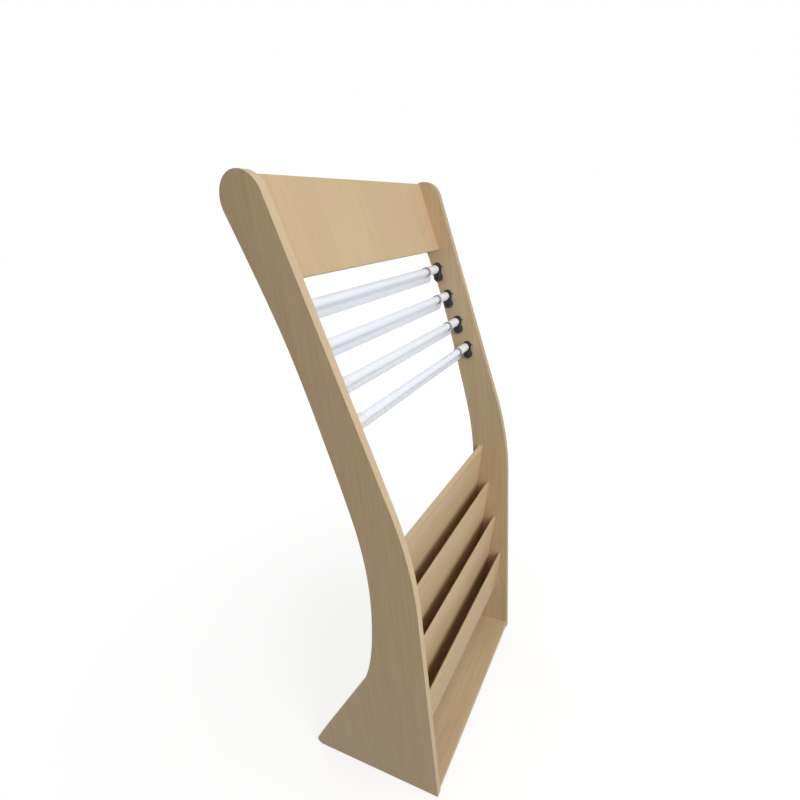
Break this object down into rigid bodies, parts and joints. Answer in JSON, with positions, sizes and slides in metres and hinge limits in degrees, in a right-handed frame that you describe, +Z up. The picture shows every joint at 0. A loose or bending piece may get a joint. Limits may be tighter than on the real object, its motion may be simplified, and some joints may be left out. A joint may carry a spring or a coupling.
{
  "type": "book and magazine rack",
  "caption": "Floor-standing wooden magazine rack: two leaning side panels, slanted pockets for magazines and spring-closed newspaper clips that lift out of hooks.",
  "frame": {"origin": "on the floor, under the middle of the rack's bounding box", "axes": "+Z up, +Y to the rear, +X to the right of a person who faces the rack's front"},
  "size_m": [0.68, 0.434, 1.6329],
  "materials": {
    "board": "beech-coloured laminate, matt",
    "aluminium": "satin anodised",
    "white_plastic": "moulded, satin",
    "grey_plastic": "moulded, matt",
    "black_plastic": "moulded, satin",
    "black_steel": "blackened",
    "steel": "spring wire",
    "zinc": "die-cast zinc"
  },
  "bodies": {
    "rack": {"left_side_panel": "board", "right_side_panel": "board", "header_board": "board", "back_board": "board", "pocket_board_1": "board", "pocket_board_2": "board", "pocket_front": "board", "pocket_floor_1": "board", "pocket_floor_2": "board", "pocket_floor_3": "board", "base_board": "board", "hook_1_left": "black_plastic", "hook_1_right": "black_plastic", "hook_2_left": "black_plastic", "hook_2_right": "black_plastic", "hook_3_left": "black_plastic", "hook_3_right": "black_plastic", "hook_4_left": "black_plastic", "hook_4_right": "black_plastic", "hook_screw_1_left": "black_steel", "hook_screw_1_right": "black_steel", "hook_screw_2_left": "black_steel", "hook_screw_2_right": "black_steel", "hook_screw_3_left": "black_steel", "hook_screw_3_right": "black_steel", "hook_screw_4_left": "black_steel", "hook_screw_4_right": "black_steel", "header_cam_1": "zinc", "header_cam_2": "zinc", "header_cam_3": "zinc", "header_cam_4": "zinc", "base_cam_1": "zinc", "base_cam_2": "zinc", "base_cam_3": "zinc", "base_cam_4": "zinc"},
    "clip_1": {"clip_1_spine": "aluminium", "clip_1_left_grip": "white_plastic", "clip_1_right_grip": "white_plastic", "clip_1_collar": "grey_plastic", "clip_1_spring": "steel"},
    "clip_1_front_jaw": {"clip_1_jaw": "aluminium"},
    "clip_2": {"clip_2_spine": "aluminium", "clip_2_left_grip": "white_plastic", "clip_2_right_grip": "white_plastic", "clip_2_collar": "grey_plastic", "clip_2_spring": "steel"},
    "clip_2_front_jaw": {"clip_2_jaw": "aluminium"},
    "clip_3": {"clip_3_spine": "aluminium", "clip_3_left_grip": "white_plastic", "clip_3_right_grip": "white_plastic", "clip_3_collar": "grey_plastic", "clip_3_spring": "steel"},
    "clip_3_front_jaw": {"clip_3_jaw": "aluminium"},
    "clip_4": {"clip_4_spine": "aluminium", "clip_4_left_grip": "white_plastic", "clip_4_right_grip": "white_plastic", "clip_4_collar": "grey_plastic", "clip_4_spring": "steel"},
    "clip_4_front_jaw": {"clip_4_jaw": "aluminium"}
  },
  "joints": [
    {"name": "clip_1_lift", "type": "slide", "parent": "rack", "child": "clip_1", "axis": [0, 0, 1], "range_m": [0, 0.03]},
    {"name": "clip_1_jaw_hinge", "type": "hinge", "parent": "clip_1", "child": "clip_1_front_jaw", "pos_m": [0, 0.00636, 1.403], "axis": [-1, 0, 0], "range_deg": [0, 40], "stiffness_Nm_per_rad": 0.6, "springref_deg": -28.65},
    {"name": "clip_2_lift", "type": "slide", "parent": "rack", "child": "clip_2", "axis": [0, 0, 1], "range_m": [0, 0.03]},
    {"name": "clip_2_jaw_hinge", "type": "hinge", "parent": "clip_2", "child": "clip_2_front_jaw", "pos_m": [0, -0.02261, 1.32672], "axis": [-1, 0, 0], "range_deg": [0, 40], "stiffness_Nm_per_rad": 0.6, "springref_deg": -28.65},
    {"name": "clip_3_lift", "type": "slide", "parent": "rack", "child": "clip_3", "axis": [0, 0, 1], "range_m": [0, 0.03]},
    {"name": "clip_3_jaw_hinge", "type": "hinge", "parent": "clip_3", "child": "clip_3_front_jaw", "pos_m": [0, -0.05159, 1.25044], "axis": [-1, 0, 0], "range_deg": [0, 40], "stiffness_Nm_per_rad": 0.6, "springref_deg": -28.65},
    {"name": "clip_4_lift", "type": "slide", "parent": "rack", "child": "clip_4", "axis": [0, 0, 1], "range_m": [0, 0.03]},
    {"name": "clip_4_jaw_hinge", "type": "hinge", "parent": "clip_4", "child": "clip_4_front_jaw", "pos_m": [0, -0.08057, 1.17415], "axis": [-1, 0, 0], "range_deg": [0, 40], "stiffness_Nm_per_rad": 0.6, "springref_deg": -28.65}
  ]
}
